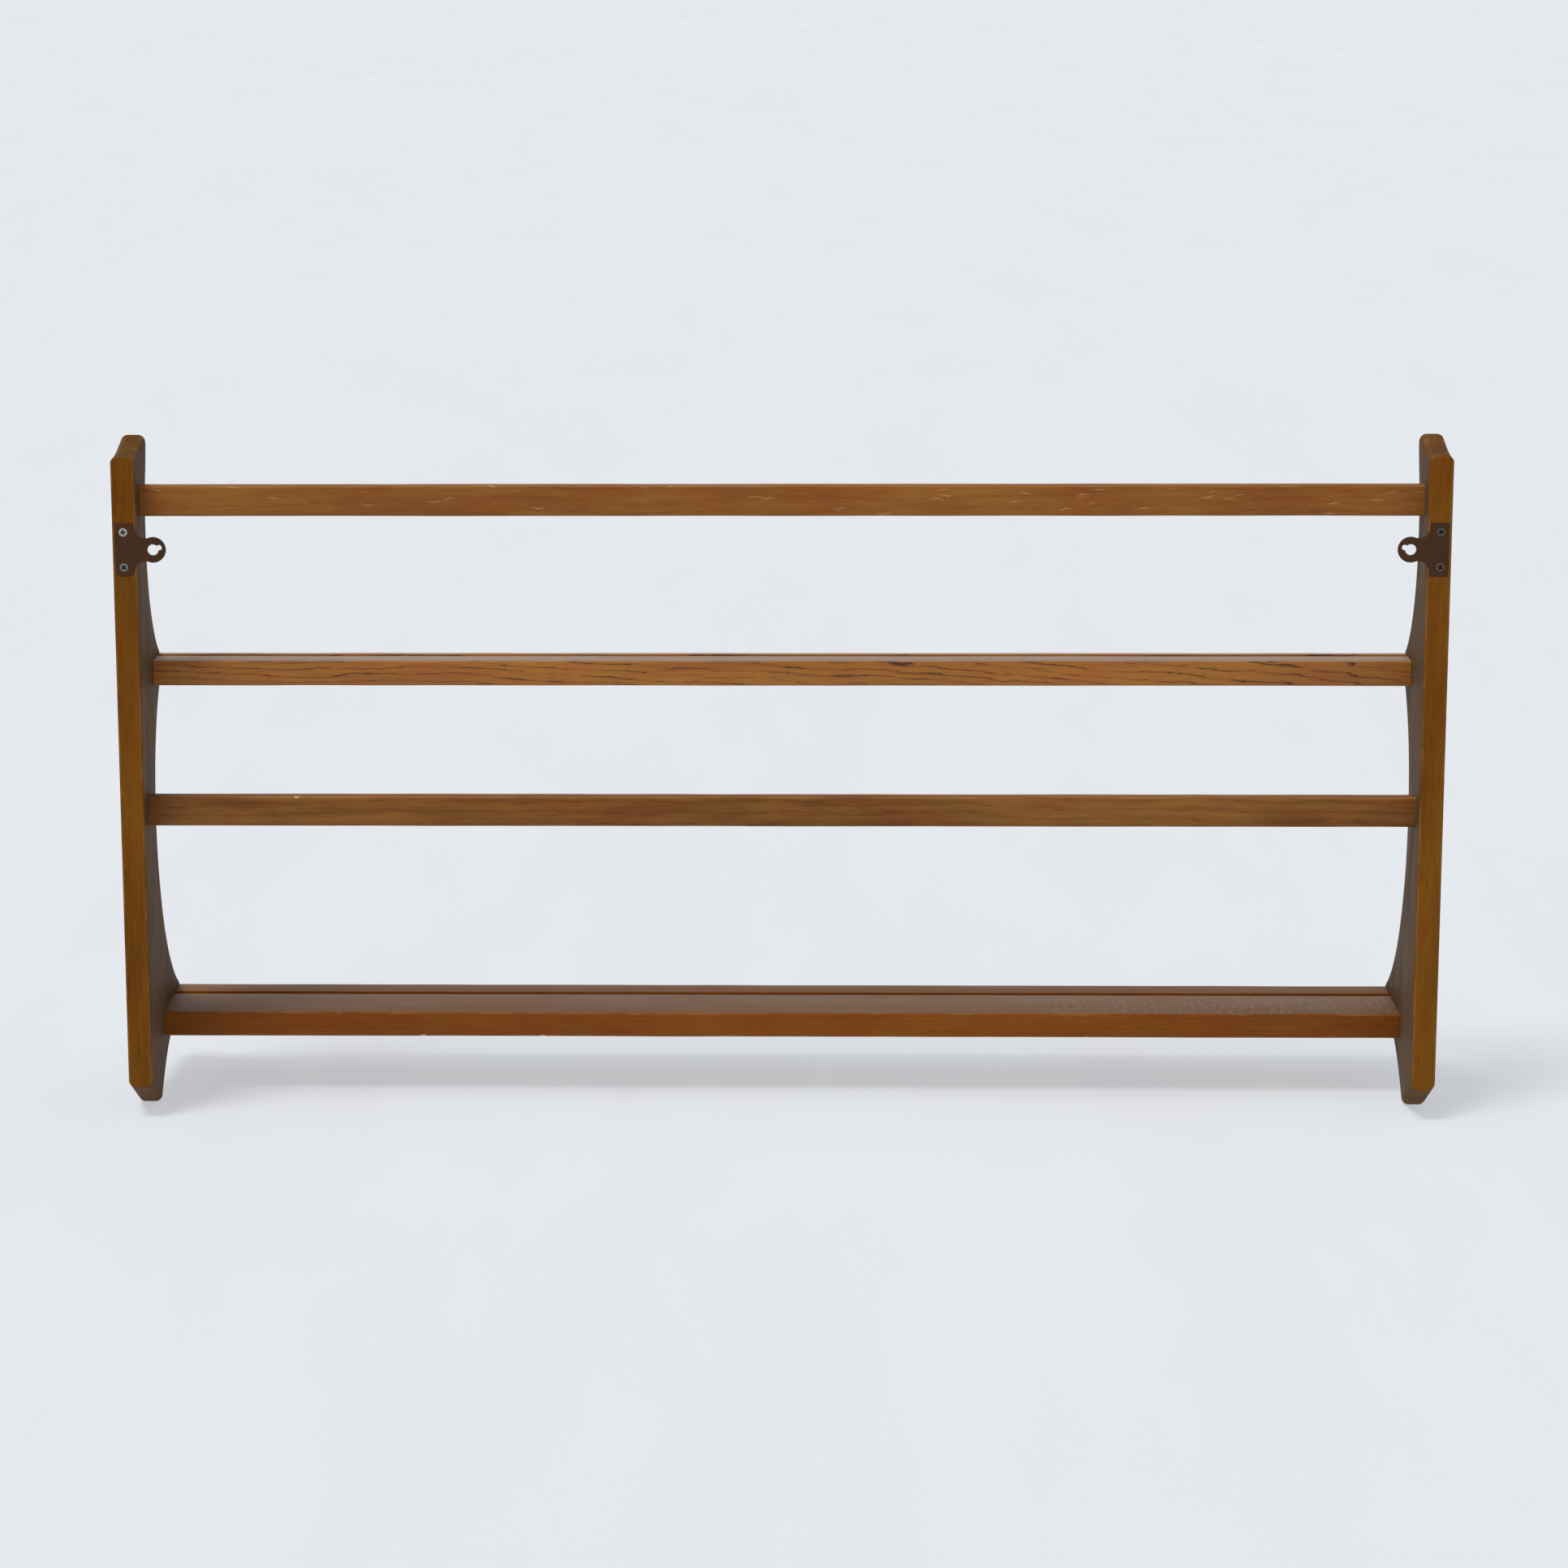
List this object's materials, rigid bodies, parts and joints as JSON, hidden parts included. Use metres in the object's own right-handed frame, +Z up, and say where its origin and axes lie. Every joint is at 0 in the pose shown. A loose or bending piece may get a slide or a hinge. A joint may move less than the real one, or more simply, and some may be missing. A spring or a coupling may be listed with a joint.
{
  "type": "wall plate rack",
  "caption": "Wooden wall rack: grooved shelves and rails dowelled between shaped end panels, hung by keyhole plates let into their wall edges.",
  "frame": {"origin": "on the wall plane, midway between the two hanging holes", "axes": "+Z up, -Y out from the wall towards the front of the rack, +X to the right seen from the front; the wall is the plane Y = 0"},
  "size_m": [0.965, 0.1635, 0.5037],
  "materials": {
    "panel_wood": "stained dark oak, clear satin lacquer",
    "rail_wood": "stained mid-brown wood, clear satin lacquer",
    "shelf_wood": "stained open-pored oak, clear satin lacquer",
    "dowel_wood": "plain beech, unfinished",
    "hanger_plate": "matt dark brown",
    "screw": "zinc plated, dull"
  },
  "bodies": {
    "root": {"end_panel_left": "panel_wood", "end_panel_right": "panel_wood", "top_rail": "rail_wood", "middle_rail": "rail_wood", "upper_shelf": "shelf_wood", "lower_shelf": "shelf_wood", "dowels_top_rail_left": "dowel_wood", "dowels_top_rail_right": "dowel_wood", "dowels_middle_rail_left": "dowel_wood", "dowels_middle_rail_right": "dowel_wood", "dowels_upper_shelf_left": "dowel_wood", "dowels_upper_shelf_right": "dowel_wood", "dowels_lower_shelf_left": "dowel_wood", "dowels_lower_shelf_right": "dowel_wood", "hanger_plate_left": "hanger_plate", "hanger_plate_right": "hanger_plate", "hanger_screw_left_upper": "screw", "hanger_screw_left_lower": "screw", "hanger_screw_right_upper": "screw", "hanger_screw_right_lower": "screw"}
  },
  "joints": []
}
